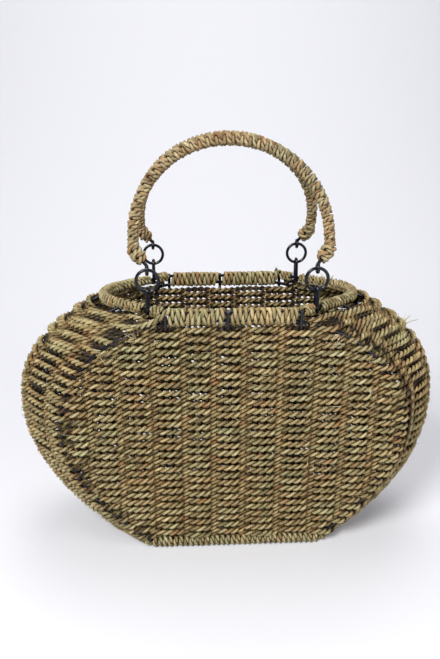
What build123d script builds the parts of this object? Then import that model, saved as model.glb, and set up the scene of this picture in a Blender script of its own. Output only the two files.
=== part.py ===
"""A woven box bag: seagrass cords on a black wire frame, with two arched handles.

Millimetres, +Z up. The origin is the middle of the base, on the surface the bag stands on.
X runs along the bag, and -Y is the front. The body is a wall of horizontal cord rows. In plan
each row is a long hexagon with a round nose at each end. Inside the wall a frame of wire
carries the rows: a ring at the mouth, a ring at the base, a hoop round the front and the back
panel, and upright wires between. Each handle hangs from two loose rings in two wire eyelets.
"""
from build123d import *
from math import asin, atan2, ceil, cos, degrees, hypot, pi, radians, sin, sqrt, tan
import os

# Heights above the base
mouth_height = 198.3         # centre of the mouth ring's wire
hoop_top_height = 192.5      # centre of the hoops' level run under the mouth ring
widest_height = 107.0        # where the body is widest
base_ring_height = 4.5       # centre of the base ring's wire

# Half lengths of the front and back panels, from the middle to the hoop
base_half_width = 60.0
widest_half_width = 131.0
mouth_half_width = 49.0

# Half lengths of the whole body, from the middle to the nose of each end
base_reach = 100.0
widest_reach = 165.0
mouth_reach = 98.0

# How full the curves are between those heights, 2 being a parabola
lower_fullness = 2.05
panel_upper_fullness = 2.4
end_upper_fullness = 2.6

# Half depths, from the middle to the panels' wire
base_half_depth = 50.5
mouth_half_depth = 56.7
nose_radius = 34.0           # of each row, at the nose of an end
base_shift = 3.0             # the base sits this far to the right of the mouth

# Wire and weave
wire_diameter = 2.6
wire_clearance = 0.3         # round a wire in its channel through the weave
row_count = 57
ridge_height = 4.7           # from the middle of the wall to the crest of a row
valley_height = 3.5          # from the middle of the wall to the groove between rows
inner_sections = 12
gap_width = 7.0
gap_height = 2.1
outer_wire_x = 48.5          # a panel's outer upright wires
middle_wire_x = -4.0         # a panel's middle upright wire
panel_gap_rows = range(6, 52, 9)    # rows under the gaps beside each panel wire
end_gap_rows = range(33, 56, 2)     # rows under the gaps beside each end rib
upright_bend_radius = 3.0
rib_top_drop = 1.5           # from the mouth ring down to a rib's end
rib_levels = [45.0, 85.0, 122.0, 152.0, 176.0, 190.0]     # heights where a rib is bent
hoop_levels = [32.0, 65.0, 98.0, 130.0, 157.0, 177.0]     # heights where a hoop is bent
flank_rib_share = 0.55       # a flank rib's depth, as a share of the half depth

# Cord wrapped round the frame
wrap_break = 2.2             # bare wire at each side of an upright or an eyelet
corner_bare = 4.0            # bare wire from a corner of the mouth ring to its first coil
ring_corner_radius = 8.0     # of the mouth ring and the base ring at the panels' ends
coil_radius = 4.2            # round the mouth ring at the ends
coil_pitch = 4.0
bar_half_height = 6.5        # round the mouth ring and the hoop together
bar_half_depth = 4.4
bar_pitch = 3.9
wrap_groove = 0.75           # depth of the groove between two turns
wrap_clearance = 0.15        # between a wire and the cord wrapped round it
piece_gap = 0.3              # between two pieces that lie against each other

# Base
binding_height = 9.0
binding_half_thickness = 4.3
binding_pitch = 5.4
binding_corner_bare = 2.5    # from a corner of the base ring to its first loop
panel_thickness = 5.0        # between the grooves of its two faces
panel_ridge_pitch = 6.5
panel_ridge_height = 0.8
panel_crest = 2.5            # width of the flat crest that the bag stands on

# Eyelets, rings and handles
eyelet_x = 61.0
eyelet_rise = 13.4           # from the mouth ring up to the centre of the eyelet's arch
eyelet_foot_radius = 4.2     # to the centre of the wire, where the loop passes under the mouth ring
eyelet_break = 4.9           # bare mouth ring at each side of an eyelet
ring_wire_diameter = 2.4
ring_diameter = 16.0         # to the centre of the ring's wire
pivot_clearance = 0.3        # between a ring and the eyelet or eye that it runs in
handle_radius = 70.5
handle_leg = 26.5            # from the eye's centre up to the start of the arch
leg_bend_height = 15.0       # from the eye's centre up to where the leg bends in to its eye
leg_bend_radius = 5.0
handle_wrap_radius = 5.1
handle_wrap_leg_radius = 4.3
handle_wrap_pitch = 5.4
handle_wrap_foot = 17.0      # from the eye's centre up to the start of the wrap
handle_touch_gap = 0.4       # between the two wrapped arches at rest


def between(z, base, widest, mouth, upper_fullness):
    """A size that grows from the base to the widest height and shrinks to the mouth."""
    if z < widest_height:
        drop = (widest_height - z) / widest_height
        return base + (widest - base) * (1 - drop ** lower_fullness)
    rise = min((z - widest_height) / (mouth_height - widest_height), 1)
    return mouth + (widest - mouth) * (1 - rise ** upper_fullness)


def panel_half_width(z):
    return between(z, base_half_width, widest_half_width, mouth_half_width, panel_upper_fullness)


def end_reach(z):
    return between(z, base_reach, widest_reach, mouth_reach, end_upper_fullness)


def half_depth(z):
    return base_half_depth + (mouth_half_depth - base_half_depth) * z / mouth_height


def shift(z):
    """Sideways place of a row's middle."""
    return base_shift * max(1 - z / widest_height, 0)


def slant(z):
    """How much thicker a sloping end is when it is measured level."""
    step = 0.5
    slope = (end_reach(z + step) - end_reach(z - step)) / (2 * step)
    return sqrt(1 + slope ** 2)


def end_plan(z, offset=0.0):
    """Corner, tangent point and nose of the right end's front half, pushed out by offset."""
    depth = half_depth(z)
    width = panel_half_width(z)
    nose_centre = end_reach(z) - nose_radius
    to_centre = hypot(nose_centre - width, depth)
    flank_angle = atan2(depth, nose_centre - width) - asin(nose_radius / to_centre)
    push = offset * slant(z)
    corner = (width + (push - offset * cos(flank_angle)) / sin(flank_angle), -depth - offset)
    radius = nose_radius + push
    touch = (nose_centre + radius * sin(flank_angle), -radius * cos(flank_angle))
    return corner, touch, (nose_centre + radius, 0)


def place(point, z, side=1, face=-1):
    """A point of the right end's front half, moved to the named side and face."""
    return Vector(side * point[0] + shift(z), -face * point[1], z)


def row_wire(z, offset):
    """The closed outline of the wall at one height."""
    corner, touch, nose = end_plan(z, offset)
    edges = [Line(place(corner, z, -1, -1), place(corner, z, 1, -1))]
    for side, first, last in ((1, -1, 1), (-1, 1, -1)):
        edges.append(Line(place(corner, z, side, first), place(touch, z, side, first)))
        arc_points = [place(touch, z, side, first), place(nose, z, side), place(touch, z, side, last)]
        edges.append(ThreePointArc(*arc_points))
        edges.append(Line(place(touch, z, side, last), place(corner, z, side, last)))
        if side == 1:
            edges.append(Line(place(corner, z, 1, 1), place(corner, z, -1, 1)))
    return Wire([edge.edge() for edge in edges])


def tube(path, radius):
    """A round bar along a path."""
    start = path @ 0
    section = Plane(origin=start, z_dir=path % 0) * Circle(radius)
    return sweep(section, path=path)


def outer_wall():
    """The ridged outside of the wall, solid right through."""
    levels = [wall_bottom + row_pitch * step / 2 for step in range(2 * row_count + 1)]
    heights = [ridge_height if step % 2 else valley_height for step in range(len(levels))]
    sections = [row_wire(z, offset) for z, offset in zip(levels, heights)]
    return Solid.make_loft(sections, ruled=True)


def inner_space():
    """The space inside the wall, a little longer than the wall at both ends."""
    low = wall_bottom - 1
    rise = (wall_top + 1 - low) / (inner_sections - 1)
    sections = [row_wire(low + rise * step, -valley_height) for step in range(inner_sections)]
    return Solid.make_loft(sections, ruled=True)


def flank_rib_point(z):
    """Where a flank rib stands in the right end's front half."""
    corner, touch, nose = end_plan(z)
    depth = -flank_rib_share * half_depth(z)
    share = (depth - corner[1]) / (touch[1] - corner[1])
    return (corner[0] + (touch[0] - corner[0]) * share, depth)


def bent_path(points):
    """Straight runs joined by the largest arcs that the runs leave room for."""
    points = [Vector(*point) for point in points]
    radii = []
    for before, here, after in zip(points, points[1:], points[2:]):
        turn = radians((here - before).get_angle(after - here))
        shorter = min((here - before).length, (after - here).length)
        radii.append(0.45 * shorter / tan(turn / 2))
    return FilletPolyline(points, radius=radii)


def rib_path(side, face):
    """The line of an end rib: face -1 and 1 on the flanks, 0 on the nose."""
    levels = [wire_foot] + rib_levels + [mouth_height - rib_top_drop]
    if face == 0:
        return bent_path([place((end_reach(z), 0), z, side) for z in levels])
    return bent_path([place(flank_rib_point(z), z, side, face) for z in levels])


def hoop_path(face):
    """The line of a panel's hoop, up one side, level under the mouth and down the other."""
    levels = [wire_foot] + hoop_levels
    left = [place((panel_half_width(z), -half_depth(z)), z, -1, face) for z in levels]
    right = [place((panel_half_width(z), -half_depth(z)), z, 1, face) for z in levels[::-1]]
    corner = (mouth_half_width, -half_depth(hoop_top_height))
    top_left = place(corner, hoop_top_height, -1, face)
    top_right = place(corner, hoop_top_height, 1, face)
    return bent_path(left + [top_left, top_right] + right)


def upright_path(face, x):
    """A panel's upright wire, which passes outside the hoop and the mouth ring at its top."""
    step_out = wire_diameter + wrap_clearance
    levels = [wire_foot, hoop_top_height - 10, hoop_top_height - 4, mouth_height + wire_radius]
    points = [(x, face * half_depth(z), z) for z in levels]
    points[2:] = [(x, y + face * step_out, z) for x, y, z in points[2:]]
    return FilletPolyline(points, radius=upright_bend_radius)


def ring_path(z):
    """The line of a closed wire ring at one height, with bent corners at the panels' ends."""
    corner, touch, nose = end_plan(z)
    ring = row_wire(z, 0)
    bends = [vertex for vertex in ring.vertices() if abs(abs(vertex.Y) - half_depth(z)) < 0.01]
    return ring.fillet_2d(ring_corner_radius, bends)


def end_frame(z, distance):
    """Point and direction of the right end's row, by distance from its front corner."""
    corner, touch, nose = end_plan(z)
    flank = hypot(touch[0] - corner[0], touch[1] - corner[1])
    flank_angle = atan2(touch[1] - corner[1], touch[0] - corner[0])
    whole = end_length(z)
    if distance > whole / 2:
        (x, y), angle = end_frame(z, whole - distance)
        return (x, -y), pi - angle
    if distance <= flank:
        point = (corner[0] + distance * cos(flank_angle), corner[1] + distance * sin(flank_angle))
        return point, flank_angle
    angle = flank_angle + (distance - flank) / nose_radius
    centre_x = nose[0] - nose_radius
    return (centre_x + nose_radius * sin(angle), -nose_radius * cos(angle)), angle


def end_length(z):
    """Length of the right end's row from the front corner to the back corner."""
    corner, touch, nose = end_plan(z)
    flank = hypot(touch[0] - corner[0], touch[1] - corner[1])
    flank_angle = atan2(touch[1] - corner[1], touch[0] - corner[0])
    return 2 * flank + (pi - 2 * flank_angle) * nose_radius


def end_plane(z, distance, side):
    """Section plane across an end's row: X outwards, Y up or down, normal along the row."""
    (x, y), angle = end_frame(z, distance)
    origin = (side * x + shift(z), y, z)
    out = (side * sin(angle), -cos(angle), 0)
    return Plane(origin=origin, x_dir=out, z_dir=(side * cos(angle), sin(angle), 0))


def wrap_section(plane, half_height, half_thickness):
    """An eight-sided section, flat where it is taller than it is thick."""
    cut = half_thickness * (1 - tan(pi / 8))
    quarter = [(half_thickness, half_height - cut), (half_thickness - cut, half_height)]
    points = quarter + [(-x, y) for x, y in quarter[::-1]]
    points += [(-x, -y) for x, y in points]
    return (plane * Polyline(points, close=True)).wire()


def wrap_solid(planes, half_height, half_thickness):
    """Cord wrapped round a line: a section at each plane, a groove and a crest by turns."""
    sections = []
    for index, plane in enumerate(planes):
        groove = 0 if index % 2 else wrap_groove
        sections.append(wrap_section(plane, half_height[index] - groove, half_thickness[index] - groove))
    return Solid.make_loft(sections, ruled=True)


def stations(start, end, pitch):
    """Distances of the grooves and crests of the turns between two places."""
    turns = max(round((end - start) / pitch), 1)
    return [start + (end - start) * step / (2 * turns) for step in range(2 * turns + 1)]


def bar_wrap(start, end, face, z, pitch, size):
    """Cord wrapped round the level wires of a panel."""
    places = stations(start, end, pitch)
    y = face * half_depth(z)
    planes = [Plane(origin=(x, y, z), x_dir=(0, 1, 0), z_dir=(1, 0, 0)) for x in places]
    return wrap_solid(planes, [size[0]] * len(planes), [size[1]] * len(planes))


def coil_wrap(start, end, side, z, pitch, size):
    """Cord coiled round the wire of an end's row, from one distance to another."""
    planes = [end_plane(z, distance, side) for distance in stations(start, end, pitch)]
    return wrap_solid(planes, [size[0]] * len(planes), [size[1]] * len(planes))


def eyelet(side, face):
    """A wire loop round the mouth ring, close round the loose ring at its arch."""
    foot_rise = eyelet_foot_radius - wire_diameter - wrap_clearance
    lean = asin((arch_radius - eyelet_foot_radius) / (eyelet_rise - foot_rise))
    right_top = (arch_radius * cos(lean), eyelet_rise - arch_radius * sin(lean))
    right_foot = (eyelet_foot_radius * cos(lean), foot_rise - eyelet_foot_radius * sin(lean))
    left_top, left_foot = (-right_top[0], right_top[1]), (-right_foot[0], right_foot[1])
    outline = Wire([
        Line(right_foot, right_top).edge(),
        ThreePointArc(right_top, (0, eyelet_rise + arch_radius), left_top).edge(),
        Line(left_top, left_foot).edge(),
        ThreePointArc(left_foot, (0, foot_rise - eyelet_foot_radius), right_foot).edge(),
    ])
    origin = (side * eyelet_x, face * hinge_depth, mouth_height)
    return tube(Plane(origin=origin, x_dir=(0, 1, 0), z_dir=(1, 0, 0)) * outline, wire_radius)


def loose_ring(side, face):
    """A round wire ring that stands in its eyelet."""
    centre = Vector(side * eyelet_x, face * hinge_depth, pivot_height + ring_diameter / 2)
    return Plane(origin=centre, z_dir=(0, 1, 0)) * Torus(ring_diameter / 2, ring_wire_diameter / 2)


def handle_plane(face):
    """The plane of a handle at rest, through its eyes, X along the bag and Y up to its top."""
    rise = Vector(0, -face * sin(handle_lean), cos(handle_lean))
    origin = (0, face * hinge_depth, eye_height)
    return Plane(origin=origin, x_dir=(1, 0, 0), z_dir=Vector(1, 0, 0).cross(rise))


def handle_line(foot):
    """A handle's centre line in its own plane, with its legs starting at the foot points."""
    left = [(-x, y) for x, y in foot]
    leg_top = (handle_radius, handle_leg)
    if len(foot) > 1:
        bend = FilletPolyline(foot + [leg_top], radius=leg_bend_radius)
        mirrored = FilletPolyline([(-leg_top[0], leg_top[1])] + left[::-1], radius=leg_bend_radius)
    else:
        bend = Line(foot[0], leg_top)
        mirrored = Line((-leg_top[0], leg_top[1]), left[0])
    arch = ThreePointArc(leg_top, (0, handle_leg + handle_radius), (-leg_top[0], leg_top[1]))
    edges = bend.edges() + arch.edges() + mirrored.edges()
    return Wire(edges)


def handle_wire(face):
    """The bent wire of a handle, with an eye at each end."""
    foot = [(eyelet_x, arch_radius), (handle_radius, leg_bend_height)]
    wire = tube(handle_plane(face) * handle_line(foot), wire_radius)
    for side in sides.values():
        eye = Plane(origin=(side * eyelet_x, face * hinge_depth, eye_height), z_dir=(1, 0, 0))
        wire += eye * Torus(arch_radius, wire_radius)
    return wire


def handle_wrap(face):
    """The cord wrapped round a handle's legs and arch, thickest at the top."""
    leg = handle_leg - handle_wrap_foot
    whole = 2 * leg + pi * handle_radius
    planes, radii = [], []
    for distance in stations(0, whole, handle_wrap_pitch):
        angle = min(max((distance - leg) / handle_radius, 0), pi)
        below = max(leg - distance, distance - whole + leg, 0)
        point = (handle_radius * cos(angle), handle_leg + handle_radius * sin(angle) - below)
        local = Plane(origin=(*point, 0), x_dir=(0, 0, 1), z_dir=(-sin(angle), cos(angle), 0))
        planes.append(handle_plane(face) * local)
        radii.append(handle_wrap_leg_radius + (handle_wrap_radius - handle_wrap_leg_radius) * sin(angle))
    wrap = wrap_solid(planes, radii, radii)
    core = handle_line([(handle_radius, handle_wrap_foot - 1)])
    return wrap - tube(handle_plane(face) * core, wire_radius + wrap_clearance)


def weave_gaps():
    """The gaps that the weave leaves beside the wires."""
    gaps = []
    for row in panel_gap_rows:
        z = wall_bottom + row * row_pitch
        for face in faces.values():
            for x in (-outer_wire_x, middle_wire_x, outer_wire_x):
                gaps.append(Pos(x, face * half_depth(z), z) * Box(gap_width, 4 * ridge_height, gap_height))
    for row in end_gap_rows:
        z = wall_bottom + row * row_pitch
        depth = 4 * ridge_height * slant(z)
        for side in sides.values():
            nose = place((end_reach(z), 0), z, side)
            gaps.append(Pos(*nose) * Box(depth, gap_width, gap_height))
            corner, touch, tip = end_plan(z)
            turn = degrees(atan2(touch[1] - corner[1], touch[0] - corner[0]))
            for face in faces.values():
                spot = place(flank_rib_point(z), z, side, face)
                turned = Pos(*spot) * Rot(0, 0, -side * face * turn)
                gaps.append(turned * Box(gap_width, depth, gap_height))
    return gaps


def woven_wall(channels):
    """The wall of cord rows, open where the wires and the wraps of the rim pass."""
    wall = outer_wall() - inner_space()
    notch_bottom = bar_height - bar_half_height - piece_gap
    notch = Box(2 * (outer_wire_x - wrap_break + piece_gap), 6 * ridge_height, 2 * bar_half_height)
    for face in faces.values():
        wall -= Pos(0, face * half_depth(bar_height), notch_bottom + bar_half_height) * notch
    return wall - channels - weave_gaps()


def base_panel():
    """The woven bottom, ridged along the bag on both faces, standing on its crests."""
    outline = row_wire(base_ring_height, -binding_half_thickness - piece_gap)
    level = outline.translate((0, 0, -base_ring_height))
    prism = extrude(make_face(level), panel_thickness + 2 * panel_ridge_height)
    ridges = ceil(base_half_depth / panel_ridge_pitch)
    under, over = [], []
    for ridge in range(-ridges, ridges + 1):
        groove, crest = ridge * panel_ridge_pitch, (ridge + 0.5) * panel_ridge_pitch
        steps = [(groove, panel_ridge_height), (crest - panel_crest / 2, 0), (crest + panel_crest / 2, 0)]
        under += steps
        over += [(y, panel_thickness + 2 * panel_ridge_height - height) for y, height in steps]
    profile = Plane.YZ * make_face(Polyline(under + over[::-1], close=True))
    return prism & extrude(profile, base_reach + nose_radius, both=True)


wire_radius = wire_diameter / 2
channel_radius = wire_radius + wire_clearance
wire_foot = base_ring_height + wire_radius + piece_gap
wall_bottom = binding_height + piece_gap
wall_top = mouth_height - coil_radius - piece_gap
row_pitch = (wall_top - wall_bottom) / row_count
bar_height = (mouth_height + hoop_top_height) / 2
sides = {"left": -1, "right": 1}
faces = {"front": -1, "back": 1}

mouth_touch = end_plan(mouth_height)[1]
mouth_flank_angle = atan2(mouth_touch[1] + mouth_half_depth, mouth_touch[0] - mouth_half_width)
eyelet_distance = (eyelet_x - mouth_half_width) / cos(mouth_flank_angle)
hinge_depth = -end_frame(mouth_height, eyelet_distance)[0][1]
arch_radius = wire_radius + ring_wire_diameter / 2 + pivot_clearance
pivot_height = mouth_height + eyelet_rise
eye_height = pivot_height + ring_diameter
handle_touch = handle_wrap_radius / cos(pi / 8) + handle_touch_gap / 2
handle_lean = asin((hinge_depth - handle_touch) / (handle_leg + handle_radius))

wire_paths = {"mouth_ring": ring_path(mouth_height), "base_ring": ring_path(base_ring_height)}
for face_name, face in faces.items():
    wire_paths[face_name + "_hoop"] = hoop_path(face)
    for wire_name, x in (("left", -outer_wire_x), ("middle", middle_wire_x), ("right", outer_wire_x)):
        wire_paths[face_name + "_" + wire_name + "_wire"] = upright_path(face, x)
for side_name, side in sides.items():
    for rib_name, face in (("front", -1), ("nose", 0), ("back", 1)):
        wire_paths[side_name + "_" + rib_name + "_rib"] = rib_path(side, face)

parts = {name: tube(path, wire_radius) for name, path in wire_paths.items()}
wall_channels = [tube(path, channel_radius) for path in wire_paths.values()]
wrap_channels = [tube(path, wire_radius + wrap_clearance) for path in wire_paths.values()]

parts["woven_wall"] = woven_wall(wall_channels)
parts["base_panel"] = base_panel()
binding_size = (binding_height / 2, binding_half_thickness)
bar_size = (bar_half_height, bar_half_depth)
coil_size = (coil_radius, coil_radius)
for face_name, face in faces.items():
    end = base_half_width - binding_corner_bare
    loops = bar_wrap(-end, end, face, binding_height / 2, binding_pitch, binding_size)
    parts[face_name + "_base_binding"] = loops - wrap_channels
    spans = {"left": (-outer_wire_x, middle_wire_x), "right": (middle_wire_x, outer_wire_x)}
    for side_name, (start, end) in spans.items():
        wrap = bar_wrap(start + wrap_break, end - wrap_break, face, bar_height, bar_pitch, bar_size)
        parts[face_name + "_" + side_name + "_rim_wrap"] = wrap - wrap_channels
for side_name, side in sides.items():
    end = end_length(base_ring_height) - binding_corner_bare
    loops = coil_wrap(binding_corner_bare, end, side, binding_height / 2, binding_pitch, binding_size)
    parts[side_name + "_base_binding"] = loops - wrap_channels
    near = eyelet_distance + eyelet_break
    coil = coil_wrap(near, end_length(mouth_height) - near, side, mouth_height, coil_pitch, coil_size)
    parts[side_name + "_rim_coil"] = coil - wrap_channels
    near = eyelet_distance - eyelet_break
    short = coil_wrap(corner_bare, near, side, mouth_height, coil_pitch, coil_size) - wrap_channels
    parts["front_" + side_name + "_corner_coil"] = short
    parts["back_" + side_name + "_corner_coil"] = mirror(short, about=Plane.XZ)
    for face_name, face in faces.items():
        corner_name = face_name + "_" + side_name
        parts[corner_name + "_eyelet"] = eyelet(side, face)
        parts[corner_name + "_ring"] = loose_ring(side, face)
for face_name, face in faces.items():
    parts[face_name + "_handle_wire"] = handle_wire(face)
    parts[face_name + "_handle_wrap"] = handle_wrap(face)

os.makedirs("parts", exist_ok=True)
for name, solid in parts.items():
    export_step(solid, "parts/" + name + ".step")
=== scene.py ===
"""Looks of a woven seagrass bag on a black wire frame, with two wrapped arched handles.

Blender works in metres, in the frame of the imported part: the origin is the middle of the base,
X runs along the bag, -Y is the front and Z is up. The bag's sizes below are in millimetres and
are turned to metres by MM. Every row of the body and every loop round the rim, the base and the
handles is a cord of two twisted plies. A row's cord is made straight and bent along its own line,
a loop is made once and copied, and both are joined into a few large pieces.
"""

import random
from math import asin, atan2, cos, hypot, pi, radians, sin

import bpy
import numpy as np
from mathutils import Euler, Matrix, Vector, noise


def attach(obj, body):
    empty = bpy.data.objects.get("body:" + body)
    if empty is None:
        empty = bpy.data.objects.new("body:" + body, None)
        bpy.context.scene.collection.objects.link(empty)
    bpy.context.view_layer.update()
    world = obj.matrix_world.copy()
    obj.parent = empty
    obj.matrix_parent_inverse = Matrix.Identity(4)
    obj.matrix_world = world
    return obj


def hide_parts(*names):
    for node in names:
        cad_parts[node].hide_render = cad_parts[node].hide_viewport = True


MM = 0.001
sides = {"left": -1, "right": 1}
faces = {"front": -1, "back": 1}
along_bag = Vector((1, 0, 0))
upwards = Vector((0, 0, 1))

# One seed for the random numbers and for Blender's noise, which follows the clock without one
seed = 41
draw = random.Random(seed)
noise.seed_set(seed)

# The body's outline, as the part's source gives it
mouth_height = 198.3
hoop_top_height = 192.5
widest_height = 107.0
base_ring_height = 4.5
base_half_width, widest_half_width, mouth_half_width = 60.0, 131.0, 49.0
base_reach, widest_reach, mouth_reach = 100.0, 165.0, 98.0
lower_fullness, panel_upper_fullness, end_upper_fullness = 2.05, 2.4, 2.6
base_half_depth, mouth_half_depth = 50.5, 56.7
nose_radius = 34.0
base_shift = 3.0             # the base sits this far to the right of the mouth
flank_rib_share = 0.55       # a flank rib's depth, as a share of the half depth
outer_wire_x, middle_wire_x = 48.5, -4.0
wire_stakes = [-outer_wire_x, middle_wire_x, outer_wire_x]
panel_stakes = [-118, -96, -72, -outer_wire_x, -26, middle_wire_x, 21.6, outer_wire_x, 72, 96, 118]
row_count = 57
wall_bottom, wall_top = 9.3, 193.8
row_pitch = (wall_top - wall_bottom) / row_count

# A cord and its two plies
ply_radius = 1.27
ply_offset = 0.93            # from the middle of a cord to the middle of a ply
ply_pinch = 0.58             # half the cord's thickness in the groove between its plies
ply_corners = (-100, -36, 36, 100)     # degrees round a ply
twist_pitch = 11.2           # one full turn of the two plies
twist_rings = 6              # sections in one full turn
seam_gap = 0.08              # the two ends of a closed cord lie nearer than this
fibre_supply = 3             # metres of pattern that each cord takes its own start from

# The weave
wave_middle = 0.5            # the rows' middle, in front of the wires
wave_height = 2.25           # of a row, in front of and behind the stakes
wave_shortfall = 1.08        # its points stand out by this factor, as a smooth line falls short
crest_height = 4.8           # of a row, from the middle of the wall
row_thickness = 1.14         # of a row that runs all the way round, as a share of a plain cord's
row_step = 5.5               # between two points of a row's line
fewest_steps = 3             # from one stake to the next
stake_margin = 9.0           # the least room between a panel's corner and its outermost stake
first_end_row = 48           # from here up the ends have a second row between every two
end_row_wave = 0.45          # of such a second row, as a share of wave_height
end_row_margin = 3.0         # from a panel's corner to the ends of such a row
end_row_tucks = {0: 3.5, 1: 1.5, -1: 3.5, -2: 1.5}     # its outermost points are moved inwards
open_rows = 2                # rows at the top that leave out the panels' middles
open_row_margin = 50.0       # from a panel's middle to the ends of such a row
reach_wobble, height_wobble, radius_wobble = 0.35, 0.6, 0.2
wobble_rate, wobble_row_step, wobble_level = 0.05, 7.3, 2.5     # where in the noise a row lies


# Tools for objects


def select_only(*objects):
    """Selects these objects alone and makes the first one active."""
    bpy.ops.object.select_all(action="DESELECT")
    for item in objects:
        item.select_set(True)
    bpy.context.view_layer.objects.active = objects[0]


def apply_modifiers(piece):
    select_only(piece)
    for modifier in list(piece.modifiers):
        bpy.ops.object.modifier_apply(modifier=modifier.name)


def select_whole_mesh():
    """Goes into edit mode with all of the active mesh selected."""
    bpy.ops.object.mode_set(mode="EDIT")
    bpy.ops.mesh.select_all(action="SELECT")


def join(name, parts):
    """One piece from many."""
    select_only(*parts)
    if len(parts) > 1:
        bpy.ops.object.join()
    piece = bpy.context.view_layer.objects.active
    piece.name = piece.data.name = name
    return piece


def paint(piece, material):
    piece.data.materials.clear()
    piece.data.materials.append(material)


def finish_piece(piece, body, material, replaced=None):
    """Attaches a piece to what it rides on, paints it with its finish and hides the CAD node that it
    replaces.
    """
    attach(piece, body)
    if replaced:
        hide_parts(replaced)
    paint(piece, material)


# The body's outline


def between(z, base, widest, mouth, upper_fullness):
    """A size that grows from the base to the widest height and shrinks to the mouth."""
    if z < widest_height:
        return base + (widest - base) * (1 - ((widest_height - z) / widest_height) ** lower_fullness)
    rise = min((z - widest_height) / (mouth_height - widest_height), 1)
    return mouth + (widest - mouth) * (1 - rise ** upper_fullness)


def panel_half_width(z):
    return between(z, base_half_width, widest_half_width, mouth_half_width, panel_upper_fullness)


def end_reach(z):
    return between(z, base_reach, widest_reach, mouth_reach, end_upper_fullness)


def half_depth(z):
    return base_half_depth + (mouth_half_depth - base_half_depth) * z / mouth_height


def shift(z):
    """Sideways place of a row's middle."""
    return base_shift * max(1 - z / widest_height, 0)


def row_height(row):
    return wall_bottom + (row + 0.5) * row_pitch


def end_quarter(z):
    """Flank angle, flank length and nose arc of a quarter row."""
    depth = half_depth(z)
    run = end_reach(z) - nose_radius - panel_half_width(z)
    to_centre = hypot(run, depth)
    angle = atan2(depth, run) - asin(nose_radius / to_centre)
    flank = (to_centre ** 2 - nose_radius ** 2) ** 0.5
    return angle, flank, nose_radius * (pi / 2 - angle)


def end_length(z):
    """Length of a row round one end, from the front panel's corner to the back panel's."""
    return 2 * sum(end_quarter(z)[1:])


def quarter_length(z):
    flank, arc = end_quarter(z)[1:]
    return panel_half_width(z) + flank + arc


def quarter_point(z, distance):
    """Point and outward angle on the front right quarter, from the front's middle."""
    width, depth = panel_half_width(z), half_depth(z)
    angle, flank = end_quarter(z)[:2]
    if distance <= width:
        return (distance, -depth), -pi / 2
    if distance <= width + flank:
        run = distance - width
        return (width + run * cos(angle), -depth + run * sin(angle)), angle - pi / 2
    turn = angle + (distance - width - flank) / nose_radius
    centre = end_reach(z) - nose_radius
    return (centre + nose_radius * sin(turn), -nose_radius * cos(turn)), turn - pi / 2


def row_point(z, distance):
    """Point and outward direction on a row, from the front's middle to the right and round."""
    length = quarter_length(z)
    lap = distance % (4 * length)
    part = int(lap // length)
    along = lap - part * length
    if part % 2:
        along = length - along
    (x, y), out = quarter_point(z, along)
    side = 1 if part in (0, 1) else -1
    face = 1 if part in (0, 3) else -1
    point = Vector((side * x + shift(z), face * y, z))
    return point, Vector((side * cos(out), face * sin(out), 0))


def row_stakes(z):
    """Distances round a row of the stakes that it passes, from the front's middle."""
    width, length = panel_half_width(z), quarter_length(z)
    rib = width + (1 - flank_rib_share) * half_depth(z) / sin(end_quarter(z)[0])
    inside = [x - shift(z) for x in panel_stakes if abs(x - shift(z)) < width - stake_margin]
    ends = [width, rib, length, 2 * length - rib, 2 * length - width]
    front = [x for x in inside if x >= 0] + ends
    back = [2 * length - x for x in inside[::-1]]
    left = [2 * length + place for place in ends]
    last = [4 * length + x for x in inside if x < 0]
    return front + back + left + last


def wall_normal(z, out):
    """The wall's outward direction, leaning with the wall at the ends."""
    slope = (end_reach(z + 0.5) - end_reach(z - 0.5)) * abs(out.x)
    return Vector((out.x, out.y, -slope)).normalized()


# Cords


def section_points():
    """The two plies' outline across a cord, pinched where they meet."""
    points = []
    for side in (1, -1):
        points.append((0.0, -side * ply_pinch))
        for angle in ply_corners:
            turn = radians(angle)
            points.append((side * (ply_offset + ply_radius * cos(turn)), side * ply_radius * sin(turn)))
    return points


cord_section = section_points()


def write_strands(cord, thickness, pitch):
    """Writes the place of each point in its strand, with one tone for the whole cord."""
    for key, kind in (("strand", "FLOAT_VECTOR"), ("tone", "FLOAT"), ("stand", "FLOAT")):
        cord.data.attributes.new(key, kind, "POINT")
    strand, tone, stand = (cord.data.attributes[key] for key in ("strand", "tone", "stand"))
    start, level = draw.random() * fibre_supply, draw.random()
    for index, vertex in enumerate(cord.data.vertices):
        along = vertex.co.z
        flat = Matrix.Rotation(2 * pi * along / (pitch * MM), 3, "Z") @ vertex.co
        strand.data[index].vector = (along + start, flat.x / thickness, flat.y / thickness)
        tone.data[index].value = level
        stand.data[index].value = 1.0
    cord["start"] = start


def straight_cord(turns, thickness=1.0, pitch=twist_pitch, rings=twist_rings, closed=False):
    """A twisted cord along X that starts at the origin."""
    bpy.ops.mesh.primitive_circle_add(vertices=len(cord_section), radius=1)
    cord = bpy.context.object
    for vertex, (x, y) in zip(cord.data.vertices, cord_section):
        vertex.co = (x * thickness * MM, y * thickness * MM, 0)
    screw = cord.modifiers.new("twist", "SCREW")
    screw.axis = "Z"
    screw.angle = -2 * pi
    screw.screw_offset = pitch * MM
    screw.iterations = turns
    screw.steps = screw.render_steps = rings
    screw.use_smooth_shade = True
    apply_modifiers(cord)
    if not closed:
        select_whole_mesh()
        bpy.ops.mesh.region_to_loop()
        bpy.ops.mesh.edge_face_add()
        bpy.ops.object.mode_set(mode="OBJECT")
    write_strands(cord, thickness, pitch)
    cord.data.transform(Matrix.Rotation(pi / 2, 4, "Y"))
    cord["length"] = turns * pitch * MM
    return cord


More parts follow.
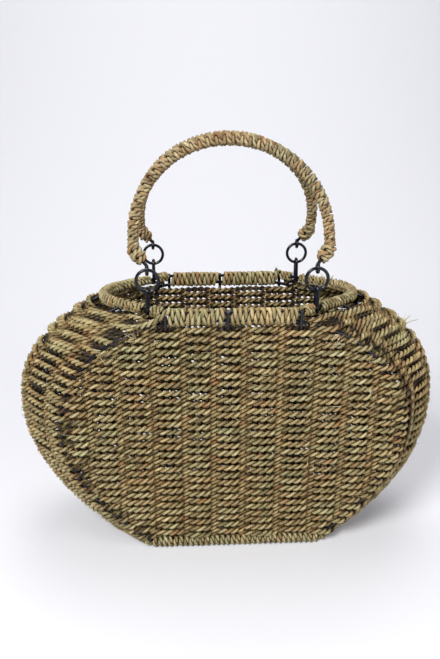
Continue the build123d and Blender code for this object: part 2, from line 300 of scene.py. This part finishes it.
def line_curve(points, closed, radii, upright):
    """A smooth line through the region of these points, for a cord to follow."""
    data = bpy.data.curves.new("line", "CURVE")
    data.dimensions = "3D"
    spline = data.splines.new("NURBS")
    spline.points.add(len(points) - 1)
    for index, point in enumerate(points):
        spline.points[index].co = (*(point * MM), 1)
        spline.points[index].radius = radii[index] if radii else 1
    spline.order_u = 4
    spline.use_cyclic_u = closed
    spline.use_endpoint_u = not closed
    spline.resolution_u = 3
    data.twist_mode = "Z_UP" if upright else "MINIMUM"
    data.use_stretch = True
    data.use_deform_bounds = True
    data.use_radius = True
    curve = bpy.data.objects.new("line", data)
    bpy.context.scene.collection.objects.link(curve)
    return curve


def bend(cord, points, closed=False, radii=None, upright=True):
    """Bends a straight cord along a line of points and closes it where the line is closed."""
    curve = line_curve(points, closed, radii, upright)
    follow = cord.modifiers.new("bend", "CURVE")
    follow.object = curve
    follow.deform_axis = "POS_X"
    apply_modifiers(cord)
    data = curve.data
    bpy.data.objects.remove(curve)
    bpy.data.curves.remove(data)
    if closed:
        select_whole_mesh()
        bpy.ops.mesh.remove_doubles(threshold=seam_gap * MM)
        bpy.ops.object.mode_set(mode="OBJECT")
    return cord


def cord_along(points, closed=False, radii=None, upright=True, thickness=1.0):
    """A twisted cord with as many turns as its line has room for."""
    pairs = zip(points, points[1:] + points[:1] if closed else points[1:])
    length = sum((after - before).length for before, after in pairs)
    turns = max(round(length / twist_pitch), 1)
    return bend(straight_cord(turns, thickness, closed=closed), points, closed, radii, upright)


# The body's rows


def weave_row(row):
    """Points of one row, in front of every other stake and behind the rest, in order round it."""
    z = row_height(row)
    stakes, length = row_stakes(z), 4 * quarter_length(z)
    places = stakes + [length + stakes[0]]
    height = wave_height if row == int(row) else end_row_wave * wave_height
    line = []
    for index, (here, after) in enumerate(zip(places, places[1:])):
        steps = max(round((after - here) / row_step), fewest_steps)
        sign = -1 if (index + int(row)) % 2 else 1
        for step in range(steps):
            share = step / steps
            distance = here + (after - here) * share
            wall, out = row_point(z, distance)
            normal = wall_normal(z, out)
            noise_place = Vector((distance * wobble_rate, row * wobble_row_step, wobble_level))
            wobble = noise.noise_vector(noise_place)
            wave = sign * height * cos(pi * share) * wave_shortfall
            point = wall + normal * (wave_middle + wave + reach_wobble * wobble.x)
            point.z += height_wobble * wobble.y
            line.append({"mark": distance % length, "wall": wall, "normal": normal, "point": point,
                         "radius": 1 + radius_wobble * wobble.z})
    return line


def end_stretches(row, margin):
    """The two stretches of a row round the ends, which stop short of the panels' middles."""
    half = 2 * quarter_length(row_height(row))
    line = sorted(weave_row(row), key=lambda item: item["mark"])
    stretches = []
    for start in (margin, half + margin):
        stop = start + half - 2 * margin
        stretches.append([item for item in line if start < item["mark"] < stop])
    return stretches


def write_stand(cord, line):
    """Writes how far each point of a cord stands from the middle of the wall, 1 at the crests; the cord's
    material paints shade where this is low.
    """
    count = len(cord.data.vertices)
    co, strand = np.empty(count * 3, np.float32), np.empty(count * 3, np.float32)
    cord.data.vertices.foreach_get("co", co)
    cord.data.attributes["strand"].data.foreach_get("vector", strand)
    share = (strand.reshape(-1, 3)[:, 0] - cord["start"]) / cord["length"]
    table = np.array([(*item["wall"], *item["normal"]) for item in line])
    place = np.clip(share, 0, 0.99999) * (len(table) - 1)
    first = place.astype(int)
    part = (place - first)[:, None]
    wall = table[first] * (1 - part) + table[first + 1] * part
    offset = ((co.reshape(-1, 3) / MM - wall[:, :3]) * wall[:, 3:]).sum(1)
    stand = np.abs(offset).astype(np.float32) / crest_height
    cord.data.attributes["stand"].data.foreach_set("value", stand)


def row_cord(line, closed=False, thickness=1.0):
    """The cord along some points of a row."""
    points, radii = [item["point"] for item in line], [item["radius"] for item in line]
    cord = cord_along(points, closed, radii, thickness=thickness)
    write_stand(cord, line + line[:1] if closed else line)
    return cord


def row_cords(row):
    """One cord all the way round, or two round the ends for a row that the panels don't have."""
    if row != int(row):
        stretches = end_stretches(row, panel_half_width(row_height(row)) + end_row_margin)
        for line in stretches:
            for place, inwards in end_row_tucks.items():
                line[place]["point"] = line[place]["point"] - line[place]["normal"] * inwards
        return [row_cord(line) for line in stretches]
    if row >= row_count - open_rows:
        return [row_cord(line) for line in end_stretches(row, open_row_margin)]
    return [row_cord(weave_row(row), True, row_thickness)]


def woven_rows(name, rows):
    """Some of the body's rows as one piece, with the ends' second rows between them."""
    second_rows = [row + 0.5 for row in rows if first_end_row <= row < row_count - 1]
    cords = [cord for row in [*rows, *second_rows] for cord in row_cords(row)]
    finish_piece(join(name, cords), "basket", body_finish, "woven_wall")


# Loops of cord

loop_points = 12
loop_turns = 2               # of the two plies round each other, in one loop
loop_shortfall = 1.1         # its points stand out by this factor, as a smooth line falls short


def loop(deep, tall, thickness=1.0, squareness=1.0, rings=9):
    """One closed loop of cord round the X axis, to this far from its middle in Y and in Z."""
    points = []
    for step in range(loop_points):
        turn = 2 * pi * step / loop_points
        y, z = cos(turn), sin(turn)
        y = abs(y) ** squareness * (1 if y > 0 else -1)
        z = abs(z) ** squareness * (1 if z > 0 else -1)
        points.append(Vector((0, deep * y, tall * z)) * loop_shortfall)
    pitch = 2 * pi * (deep + tall) / 2 / loop_turns
    cord = straight_cord(loop_turns, thickness, pitch, rings, closed=True)
    return bend(cord, points, closed=True, upright=False)


def copy_of(piece, matrix):
    """A copy with its own mesh, set in place, with its own tone and its own stretch of fibre."""
    made = piece.copy()
    made.data = piece.data.copy()
    bpy.context.scene.collection.objects.link(made)
    made.data.transform(matrix)
    level, start = draw.random(), draw.random() * fibre_supply
    strand, tone = (made.data.attributes[key] for key in ("strand", "tone"))
    for index in range(len(made.data.vertices)):
        tone.data[index].value = level
        strand.data[index].vector = strand.data[index].vector + Vector((start, 0, 0))
    return made


def placed(origin, along, up, sizes, tilt, lean):
    """Matrix that sets a loop in place, its X axis along, leaning in the wrapped bar's plane."""
    along = along.normalized()
    out = up.cross(along).normalized()
    up = along.cross(out).normalized()
    axes = Matrix((along, out, up)).transposed().to_4x4()
    turned = Matrix.Rotation(tilt, 4, "Y") @ Matrix.Rotation(lean, 4, "Z") @ Matrix.Diagonal((*sizes, 1))
    return Matrix.Translation(origin * MM) @ axes @ turned


def loops_along(name, model, places, tilt=0.0, alternate=0.0, jitter=0.05):
    """Copies of one loop of cord, side by side at these places, as one piece."""
    made = []
    for index, (origin, along, up, size) in enumerate(places):
        swing = alternate if index % 2 else -alternate
        wide, tall = size * draw.uniform(0.96, 1.05), size * draw.uniform(0.95, 1.05)
        angle = tilt + swing + draw.gauss(0, jitter)
        sizes, lean = (draw.uniform(0.92, 1.1), wide, tall), draw.gauss(0, jitter) + swing
        made.append(copy_of(model, placed(origin, along, up, sizes, angle, lean)))
    return join(name, made)


def steps_between(start, end, pitch):
    """Middles of equal steps, about a pitch long, from the start to the end."""
    count = max(round((end - start) / pitch), 1)
    return [start + (end - start) * (index + 0.5) / count for index in range(count)]


def bar_places(y, z, start, end, pitch):
    """Places for loops round a straight bar that runs along a panel."""
    return [(Vector((x, y, z)), along_bag, upwards, 1) for x in steps_between(start, end, pitch)]


def end_places(z, start, end, pitch, side, face=-1):
    """Places for loops round an end's ring, by distance from a panel's corner."""
    made = []
    for distance in steps_between(start, end, pitch):
        before, ahead = (row_point(z, panel_half_width(z) + distance + nudge)[0] for nudge in (-0.2, 0.2))
        middle, direction = (before + ahead) / 2, ahead - before
        origin = Vector((side * (middle.x - shift(z)) + shift(z), -face * middle.y, middle.z))
        along = Vector((side * direction.x, -face * direction.y, 0))
        made.append((origin, along, upwards, 1))
    return made


# Finishes


def new_material(name):
    material = bpy.data.materials.new(name)
    material.use_nodes = True
    nodes = material.node_tree.nodes
    nodes.clear()
    output = nodes.new("ShaderNodeOutputMaterial")
    shader = nodes.new("ShaderNodeBsdfPrincipled")
    material.node_tree.links.new(shader.outputs["BSDF"], output.inputs["Surface"])
    return material, shader


def node(material, kind, inputs=None, **settings):
    """Adds a node; an input is a number, a colour or another node's output."""
    made = material.node_tree.nodes.new(kind)
    for key, value in settings.items():
        setattr(made, key, value)
    for key, value in (inputs or {}).items():
        if isinstance(value, bpy.types.NodeSocket):
            material.node_tree.links.new(value, made.inputs[key])
        else:
            made.inputs[key].default_value = value
    return made


def ramp(material, factor, stops):
    """A colour that changes with a number, by its position on the list of stops."""
    made = node(material, "ShaderNodeValToRGB", {"Fac": factor})
    elements = made.color_ramp.elements
    while len(elements) < len(stops):
        elements.new(0.5)
    for element, (position, colour) in zip(elements, stops):
        element.position = position
        element.color = (*colour, 1)
    return made.outputs["Color"]


def arithmetic(material, operation, first, second):
    return node(material, "ShaderNodeMath", {0: first, 1: second}, operation=operation).outputs[0]


def ranged(material, value, taken, given):
    """A number turned from the range that it is taken in to the one that it is given in."""
    return node(material, "ShaderNodeMapRange", {
        "Value": value, "From Min": taken[0], "From Max": taken[1],
        "To Min": given[0], "To Max": given[1]}).outputs[0]


def noise_at(material, place, scale, detail, roughness=0.5):
    inputs = {"Vector": place, "Scale": scale, "Detail": detail, "Roughness": roughness}
    return node(material, "ShaderNodeTexNoise", inputs).outputs["Fac"]


def object_place(material):
    return node(material, "ShaderNodeTexCoord").outputs["Object"]


def attribute(material, name):
    return node(material, "ShaderNodeAttribute", attribute_name=name).outputs


def surface(material, shader, colour, grain, roughness, bump=None):
    """Gives the shader its colour, with a roughness and a bump that follow one grain."""
    links = material.node_tree.links
    links.new(colour, shader.inputs["Base Color"])
    links.new(ranged(material, grain, (0, 1), roughness), shader.inputs["Roughness"])
    if bump:
        strength, height = bump
        made = node(material, "ShaderNodeBump", {"Height": grain, "Strength": strength, "Distance": height})
        links.new(made.outputs["Normal"], shader.inputs["Normal"])


def cord_material(name, stops, rust):
    """Twisted plant fibre: streaks along each ply and changes of colour along it, with painted shade in the
    grooves between the plies and where a row lies back from its crests.
    """
    material, shader = new_material(name)
    tone = attribute(material, "tone")["Fac"]
    strand = attribute(material, "strand")["Vector"]
    along, across, deep = node(material, "ShaderNodeSeparateXYZ", {"Vector": strand}).outputs
    ply = arithmetic(material, "GREATER_THAN", across, 0.0)

    def product(value, factor):
        return arithmetic(material, "MULTIPLY", value, factor)

    def total(first, second):
        return arithmetic(material, "ADD", first, second)

    def pattern(x, y, z, detail, roughness=0.5):
        place = node(material, "ShaderNodeCombineXYZ", {"X": x, "Y": y, "Z": z}).outputs[0]
        return noise_at(material, place, 1.0, detail, roughness)

    def squared_mm(value):
        millimetres = product(value, 1000)
        return product(millimetres, millimetres)

    def tinted(colour, tint):
        return node(material, "ShaderNodeVectorMath", {0: colour, 1: tint}, operation="MULTIPLY").outputs[0]

    # Pale and dark patches, fine streaks, and here and there a rusty stretch. The factor of a
    # direction says how often a pattern changes, and those of ply and tone set strands apart
    patches = pattern(product(along, 55), product(ply, 9.1), product(tone, 37), 3.0, 0.6)
    streaks = pattern(product(along, 160), product(across, 2600), product(deep, 2600), 3.0, 0.65)
    plain = ramp(material, total(product(patches, 0.62), product(streaks, 0.38)), stops)
    red_patches = pattern(product(along, 90), product(ply, 4.7), product(tone, 91), 2.0)
    red_share = ranged(material, red_patches, (0.55, 0.75), (0, 0.75))
    mixed = node(material, "ShaderNodeMix", {0: red_share, 6: plain, 7: (*rust, 1)}, data_type="RGBA")

    # A slow change of hue over the bag, painted shade where a row lies back between its crests and painted
    # shade in the grooves between plies
    region = noise_at(material, object_place(material), 26.0, 3.0)
    hue = total(product(region, 0.75), product(tone, 0.25))
    tint = ramp(material, hue, [
        (0.32, (0.87, 0.90, 0.86)), (0.5, (0.94, 0.905, 0.86)), (0.68, (1.01, 0.865, 0.76))])
    # Painted shade: the parts of a row that lie back from its crests are darkened and browned by how little
    # they stand out
    shade = ramp(material, attribute(material, "stand")["Fac"], [
        (0.12, (0.05, 0.035, 0.022)), (0.38, (0.62, 0.51, 0.38)), (0.66, (1, 1, 1))])
    # Painted shade: each cord is darkened towards the pinch where its two plies meet
    groove_shade = ranged(material, total(squared_mm(across), squared_mm(deep)), (0.45, 1.8), (0.05, 1.0))
    shaded = tinted(tinted(mixed.outputs[2], tint), shade)
    groove_shaded = node(material, "ShaderNodeVectorMath", {0: shaded, "Scale": groove_shade}, operation="SCALE")
    surface(material, shader, groove_shaded.outputs[0], streaks, (0.48, 0.74), (0.55, 0.5 * MM))
    shader.inputs["Specular IOR Level"].default_value = 0.35
    return material


def fibre_material():
    """Dry, pale single fibres, some of them darker."""
    material, shader = new_material("loose_fibre")
    patches = noise_at(material, object_place(material), 90.0, 2.0)
    colour = ramp(material, patches, [
        (0.34, (0.13, 0.08, 0.03)), (0.48, (0.30, 0.235, 0.11)), (0.62, (0.58, 0.52, 0.32))])
    surface(material, shader, colour, patches, (0.45, 0.7))
    return material


def wire_material():
    """Black enamelled wire, a little uneven and worn."""
    material, shader = new_material("black_wire")
    grain = noise_at(material, object_place(material), 420.0, 4.0)
    colour = ramp(material, grain, [(0.3, (0.002, 0.002, 0.004)), (0.72, (0.006, 0.007, 0.014))])
    surface(material, shader, colour, grain, (0.13, 0.28), (0.25, 0.4 * MM))
    shader.inputs["Specular IOR Level"].default_value = 0.3
    shader.inputs["Coat Weight"].default_value = 0.12
    shader.inputs["Coat Roughness"].default_value = 0.15
    return material


def plain_material(name, colour, roughness):
    material, shader = new_material(name)
    shader.inputs["Base Color"].default_value = (*colour, 1)
    shader.inputs["Roughness"].default_value = roughness
    return material


# Cords and wraps of the basket


def cord_stakes():
    """Upright cords that stand in each panel beside its wires."""
    heights, corner_room, sway = range(10, 190, 9), 1, 0.4
    cords = []
    for face in faces.values():
        for x in panel_stakes:
            if x in wire_stakes:
                continue
            levels = [z for z in heights if abs(x - shift(z)) < panel_half_width(z) - corner_room]
            points = [Vector((x + draw.gauss(0, sway), face * half_depth(z), z)) for z in levels]
            cords.append(cord_along(points, upright=False, thickness=0.95))
    finish_piece(join("cord_stakes", cords), "basket", stake_finish)


def rim_bars():
    """Loops round the mouth ring and the hoop together, with the wires' places left bare."""
    bare = 2.6
    spans = {"left": (-outer_wire_x + bare, middle_wire_x - bare),
             "right": (middle_wire_x + bare, outer_wire_x - bare)}
    model = loop(2.7, 4.7, thickness=1.1, squareness=0.8, rings=11)
    middle = (mouth_height + hoop_top_height) / 2
    for face_name, face in faces.items():
        for side_name, span in spans.items():
            name = face_name + "_" + side_name
            places = bar_places(face * half_depth(middle), middle, *span, pitch=3.9)
            piece = loops_along(name + "_rim_loops", model, places, tilt=0.24, jitter=0.12)
            finish_piece(piece, "basket", wrap_finish, name + "_rim_wrap")
    bpy.data.objects.remove(model)


def rim_coils():
    """Loops round the mouth ring: between the eyelets of each end, and at the four corners."""
    eyelet_x, pitch = 61.0, 3.5
    end_bare, corner_bare = 4.9, 4.2     # bare ring on an eyelet's two sides
    corner_start = 2.0                   # from a panel's corner to the first loop beside it
    eyelet = (eyelet_x - mouth_half_width) / cos(end_quarter(mouth_height)[0])
    near = eyelet + end_bare
    far = end_length(mouth_height) - near
    model = loop(2.6, 2.6, thickness=0.92)
    for side_name, side in sides.items():
        places = end_places(mouth_height, near, far, pitch, side)
        piece = loops_along(side_name + "_rim_loops", model, places, tilt=0.15 * side, jitter=0.12)
        finish_piece(piece, "basket", wrap_finish, side_name + "_rim_coil")
        for face_name, face in faces.items():
            name = face_name + "_" + side_name
            places = end_places(mouth_height, corner_start, eyelet - corner_bare, pitch, side, face)
            piece = loops_along(name + "_corner_loops", model, places)
            finish_piece(piece, "basket", wrap_finish, name + "_corner_coil")
    bpy.data.objects.remove(model)


def base_loops():
    """Loops round the base ring, along the panels and round the ends."""
    height, pitch = 5.2, 4.2
    panel_reach = 67         # from the middle of the base to the last loop of a panel
    end_margin = 1           # from a panel's corner to the first loop of an end
    measured_height = 4.7    # of the row whose length round an end is shared out
    whole = end_length(measured_height)
    model = loop(2.7, 2.9, rings=8)
    for face_name, face in faces.items():
        places = bar_places(face * half_depth(base_ring_height), height,
                            -panel_reach + base_shift, panel_reach + base_shift, pitch)
        piece = loops_along(face_name + "_base_loops", model, places, tilt=0.1)
        finish_piece(piece, "basket", wrap_finish, face_name + "_base_binding")
    for side_name, side in sides.items():
        places = end_places(height, end_margin, whole - end_margin, pitch, side)
        piece = loops_along(side_name + "_base_loops", model, places)
        finish_piece(piece, "basket", wrap_finish, side_name + "_base_binding")
    bpy.data.objects.remove(model)


def base_weave():
    """Cords side by side across the base, each one wavy against the next."""
    side_margin, row_room, point_room = 2, 3.3, 6.0
    depth, height, wave, half_wave = 46.5, 3.8, 1.4, 22
    middle = shift(base_ring_height)
    outline = [row_point(base_ring_height, distance / 2)[0] for distance in range(300)]
    cords = []
    for index, y in enumerate(steps_between(-depth, depth, row_room)):
        reach = max(point.x - middle for point in outline if abs(point.y) >= abs(y)) - side_margin
        points = []
        for x in steps_between(-reach + middle, reach + middle, point_room):
            z = height + wave * cos(pi * x / half_wave) * (-1) ** index
            points.append(Vector((x, y + draw.gauss(0, 0.15), z)))
        cords.append(cord_along(points, thickness=0.95))
    finish_piece(join("base_weave", cords), "basket", body_finish, "base_panel")


def corner_cords():
    """The last row's two ends, laid over one front corner of the rim and one back corner."""
    line = [(-45, -59.5, 202.2), (-49, -62.4, 199.8), (-53.5, -62.6, 196), (-58.5, -61, 192.5),
            (-64, -58.5, 189.8), (-71, -55.5, 188), (-80, -50.5, 186.5), (-88, -44.5, 185)]
    cords = []
    for turn in (1, -1):
        points = [Vector((turn * (x + draw.gauss(0, 0.4)), turn * y, z + draw.gauss(0, 0.3)))
                  for x, y, z in line]
        cords.append(cord_along(points, thickness=1.05))
    finish_piece(join("corner_cords", cords), "basket", wrap_finish)


# The handles

handle_radius = 70.5
handle_leg = 26.5            # from the eye's centre up to the start of the arch
handle_wrap_foot = 17.0      # from the eye's centre up to the start of the even wrap
handle_wrap_radius = 5.1
handle_touch_gap = 0.4       # between the two wrapped arches at rest
handle_loop_pitch = 3.2
eye_height = 227.7
hinge_depth = 46.719         # from the middle of the bag to the eyes
foot_points = [(70.5, 17.0), (70.2, 14.5), (68.4, 12.2), (66.6, 9.9), (64.8, 7.6), (63.2, 5.6)]
foot_sizes = [0.85, 0.95, 1.05, 1.05, 0.9]
leg_size, arch_size = 0.84, 0.16     # of a loop on a leg, and what it gains to the arch's top

handle_lean = asin((hinge_depth - handle_wrap_radius / cos(pi / 8) - handle_touch_gap / 2)
                   / (handle_leg + handle_radius))


def handle_places(face):
    """Places for a handle's loops, over the arch and then down each bent foot to its eye."""
    rise = Vector((0, -face * sin(handle_lean), cos(handle_lean)))
    eyes = Vector((0, face * hinge_depth, eye_height))
    normal = along_bag.cross(rise)
    leg = handle_leg - handle_wrap_foot
    whole = 2 * leg + pi * handle_radius
    places = []
    for distance in steps_between(0, whole, handle_loop_pitch):
        turn = min(max((distance - leg) / handle_radius, 0), pi)
        below = max(leg - distance, distance - whole + leg, 0)
        x, up = handle_radius * cos(turn), handle_leg + handle_radius * sin(turn) - below
        along = Vector((-sin(turn), 0, 0)) + rise * cos(turn)
        size = leg_size + arch_size * sin(turn)
        places.append((eyes + Vector((x, 0, 0)) + rise * up, along, normal, size))
    for side in sides.values():
        for (x, up), (x_next, up_next), size in zip(foot_points, foot_points[1:], foot_sizes):
            along = Vector((side * (x_next - x), 0, 0)) + rise * (up_next - up)
            places.append((eyes + Vector((side * x, 0, 0)) + rise * up, along, normal, size))
    return places


def handle_knots():
    """Loops round each handle's wire that lean one way and the other in turn."""
    model = loop(3.25, 3.25, thickness=1.08, rings=8)
    for face_name, face in faces.items():
        piece = loops_along(face_name + "_handle_knots", model, handle_places(face), alternate=0.2)
        finish_piece(piece, face_name + "_handle", handle_finish, face_name + "_handle_wrap")
    bpy.data.objects.remove(model)


# Loose fibres

# Frayed places: height, distance from the front's middle, strands, length, direction, thickness
frayed_places = [
    (182, -70, 9, 6.5, (-0.3, -0.1, 0.9), 0.55),
    (170, -95, 7, 6, (0.9, -0.1, -0.4), 0.55),
    (176, 72, 8, 6, (0.7, -0.1, 0.5), 0.5),
    (138, 102, 6, 6, (0.6, -0.1, -0.8), 0.5),
    (168, 171, 4, 10, (0.7, 0.1, 0.4), 0.45)]

# Single hairs: height, distance from the front's middle, length, direction
single_hairs = [
    (124, 81, 9, (-1, 0, 0.1)), (100, 48, 9, (0.8, 0, -0.5)), (74, 57, 8, (0.1, 0, 1)),
    (104, -36, 8, (0.8, 0, -0.6)), (28, -8, 11, (-0.4, 0, 1)), (150, 20, 9, (0.9, 0, 0.3))]


def fibre(curve, start, direction, length, radius, curl):
    """One loose fibre that leaves the start in a direction, curls and thins out."""
    spline = curve.splines.new("NURBS")
    spline.points.add(3)
    sideways = direction.cross(Vector((draw.gauss(0, 1), draw.gauss(0, 1), draw.gauss(0, 1)))).normalized()
    for index, point in enumerate(spline.points):
        share = index / 3
        place = start + direction * length * share + sideways * curl * length * share ** 2
        point.co = (*(place * MM), 1)
        point.radius = radius * (1 - 0.7 * share)
    spline.order_u = 3
    spline.use_endpoint_u = True
    spline.resolution_u = 3


def on_row(z, distance):
    """A point just under the crest of a row and the outward direction there."""
    point, out = row_point(z, distance)
    normal = wall_normal(z, out)
    return point + normal * (crest_height - 0.6), normal


def row_hairs(curve):
    """A few short hairs on every row but the top ones, nearly along it."""
    for row in range(row_count - 3):
        z = row_height(row)
        for _ in range(6):
            start, normal = on_row(z, draw.uniform(0, 4 * quarter_length(z)))
            along = Vector((-normal.y, normal.x, 0)) * draw.choice((-1, 1))
            direction = along + normal * draw.uniform(0.05, 0.5) + upwards * draw.gauss(0, 0.5)
            fibre(curve, start, direction.normalized(), draw.uniform(3, 9), draw.uniform(0.1, 0.22),
                  draw.uniform(-0.6, 0.6))


def tuft(curve, z, distance, count, length, towards, radius):
    """Frayed strands that stand out from one place of the wall."""
    for _ in range(count):
        start, normal = on_row(z + draw.gauss(0, 1.2), distance + draw.gauss(0, 2.0))
        spread = Vector((draw.gauss(0, 0.45), draw.gauss(0, 0.25), draw.gauss(0, 0.45)))
        direction = (normal * 0.35 + Vector(towards) + spread).normalized()
        fibre(curve, start, direction, length * draw.uniform(0.5, 1.1), radius * draw.uniform(0.5, 1.1),
              draw.uniform(-0.5, 0.5))


def loose_fibres():
    """Hairs and frayed strands of the body as one piece."""
    curve = bpy.data.curves.new("loose_fibres", "CURVE")
    curve.dimensions = "3D"
    curve.bevel_depth = 1 * MM
    curve.bevel_resolution = 0
    curve.use_fill_caps = True
    row_hairs(curve)
    for frayed_place in frayed_places:
        tuft(curve, *frayed_place)
    for z, distance, length, towards in single_hairs:
        start, normal = on_row(z, distance)
        direction = (normal * 0.15 + Vector(towards)).normalized()
        fibre(curve, start, direction, length, 0.24, draw.uniform(-0.25, 0.25))

    # A wisp that stands up on the rim of the right end
    for _ in range(4):
        start = Vector((86 + draw.gauss(0, 2), 18 + draw.gauss(0, 2), 200))
        direction = Vector((draw.gauss(-0.3, 0.4), draw.gauss(0, 0.2), 1)).normalized()
        fibre(curve, start, direction, draw.uniform(6, 11), 0.4, 0.3)
    fibres = bpy.data.objects.new("loose_fibres", curve)
    bpy.context.scene.collection.objects.link(fibres)
    select_only(fibres)
    bpy.ops.object.convert(target="MESH")
    bpy.ops.object.shade_smooth()
    finish_piece(bpy.context.object, "basket", fibre_finish)


# Floor, light and camera, in metres


def pale_floor():
    """A floor that turns up in a wide curve behind the bag."""
    half_width, half_length, forwards, height, bend_radius = 2.5, 1.4, 0.4, 2.4, 0.7
    bpy.ops.object.select_all(action="DESELECT")
    bpy.ops.mesh.primitive_plane_add(size=2)
    floor = bpy.context.object
    floor.name = "floor"
    select_whole_mesh()
    bpy.ops.transform.resize(value=(half_width, half_length, 1))
    bpy.ops.transform.translate(value=(0, -forwards, 0))
    bpy.ops.object.mode_set(mode="OBJECT")
    corners = floor.data.vertices
    for edge in floor.data.edges:
        edge.select = all(corners[index].co.y > 0 for index in edge.vertices)
    for corner in corners:
        corner.select = corner.co.y > 0
    floor.data.polygons[0].select = False
    bpy.ops.object.mode_set(mode="EDIT")
    bpy.ops.mesh.extrude_region_move(TRANSFORM_OT_translate={"value": (0, 0, height)})
    bpy.ops.object.mode_set(mode="OBJECT")
    curved_back = floor.modifiers.new("round", "BEVEL")
    curved_back.width = bend_radius
    curved_back.segments = 16
    curved_back.limit_method = "ANGLE"
    apply_modifiers(floor)
    bpy.ops.object.shade_smooth()
    paint(floor, plain_material("pale_floor", (0.70, 0.70, 0.73), 0.9))


def studio_world(colour, light, seen):
    """An even world that lights the bag at one strength and is seen by the camera at another."""
    world = bpy.data.worlds.new("studio")
    bpy.context.scene.world = world
    world.use_nodes = True
    nodes, links = world.node_tree.nodes, world.node_tree.links
    backdrop = nodes["Background"]
    backdrop.inputs["Color"].default_value = (*colour, 1)
    light_path = nodes.new("ShaderNodeLightPath")
    strength = nodes.new("ShaderNodeMapRange")
    strength.inputs["To Min"].default_value = light
    strength.inputs["To Max"].default_value = seen
    links.new(light_path.outputs["Is Camera Ray"], strength.inputs["Value"])
    links.new(strength.outputs[0], backdrop.inputs["Strength"])


def lamp(name, place, size, power, target=(0, 0, 0.12)):
    """A square lamp at a place, which points at the middle of the bag."""
    data = bpy.data.lights.new(name, "AREA")
    data.size = size
    data.energy = power
    item = bpy.data.objects.new(name, data)
    bpy.context.scene.collection.objects.link(item)
    item.location = place
    item.rotation_euler = (Vector(target) - Vector(place)).to_track_quat("-Z", "Y").to_euler()


def photo_camera(place, tilt, turn, lens):
    """The camera at the photograph's viewing angle, its two angles in degrees."""
    data = bpy.data.cameras.new("camera")
    data.lens = lens
    data.sensor_width = 36
    data.sensor_fit = "AUTO"
    camera = bpy.data.objects.new("camera", data)
    bpy.context.scene.collection.objects.link(camera)
    camera.location = place
    camera.rotation_euler = Euler((radians(tilt), 0, radians(turn)))
    bpy.context.scene.camera = camera


# The making, in this order because the pieces share one run of random numbers

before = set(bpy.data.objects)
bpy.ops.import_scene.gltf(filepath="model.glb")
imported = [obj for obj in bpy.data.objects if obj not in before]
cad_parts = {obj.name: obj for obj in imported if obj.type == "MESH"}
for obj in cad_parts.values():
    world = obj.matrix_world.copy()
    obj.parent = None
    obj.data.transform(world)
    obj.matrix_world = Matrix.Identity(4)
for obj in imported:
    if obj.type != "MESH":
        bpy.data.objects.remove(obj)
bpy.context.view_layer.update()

body_finish = cord_material("seagrass_cord", [
    (0.30, (0.055, 0.034, 0.012)), (0.42, (0.195, 0.15, 0.062)), (0.50, (0.325, 0.275, 0.133)),
    (0.58, (0.47, 0.41, 0.215)), (0.70, (0.67, 0.61, 0.375))], rust=(0.33, 0.15, 0.048))
wrap_finish = cord_material("wrapped_seagrass", [
    (0.30, (0.06, 0.04, 0.014)), (0.42, (0.20, 0.16, 0.068)), (0.50, (0.345, 0.295, 0.148)),
    (0.58, (0.49, 0.43, 0.24)), (0.70, (0.68, 0.62, 0.40))], rust=(0.30, 0.145, 0.048))
handle_finish = cord_material("handle_seagrass", [
    (0.30, (0.06, 0.034, 0.014)), (0.42, (0.19, 0.135, 0.063)), (0.50, (0.32, 0.255, 0.137)),
    (0.58, (0.46, 0.38, 0.22)), (0.70, (0.63, 0.56, 0.37))], rust=(0.34, 0.14, 0.045))
stake_finish = cord_material("stake_seagrass", [
    (0.28, (0.05, 0.03, 0.013)), (0.42, (0.12, 0.08, 0.035)), (0.52, (0.19, 0.13, 0.06)),
    (0.62, (0.26, 0.19, 0.09)), (0.74, (0.36, 0.27, 0.14))], rust=(0.2, 0.08, 0.03))
fibre_finish = fibre_material()
wire_finish = wire_material()

for cad_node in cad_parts.values():
    paint(cad_node, wire_finish)

woven_rows("lower_rows", range(0, 14))
woven_rows("belly_rows", range(14, 28))
woven_rows("shoulder_rows", range(28, 42))
woven_rows("upper_rows", range(42, row_count))
cord_stakes()
rim_bars()
rim_coils()
base_loops()
base_weave()
handle_knots()
corner_cords()
loose_fibres()

pale_floor()
studio_world((0.86, 0.89, 0.95), light=0.18, seen=0.92)
lamp("key_light", (-0.6, -0.9, 1.0), size=0.5, power=22)
lamp("fill_light", (0.9, -0.7, 0.7), size=0.9, power=7.5)
lamp("top_light", (0.1, 0.4, 1.3), size=0.9, power=8)
photo_camera((-0.03223, -0.50218, 0.33274), tilt=71.77, turn=-2.9, lens=35.79)
bpy.context.scene.view_settings.view_transform = "Standard"
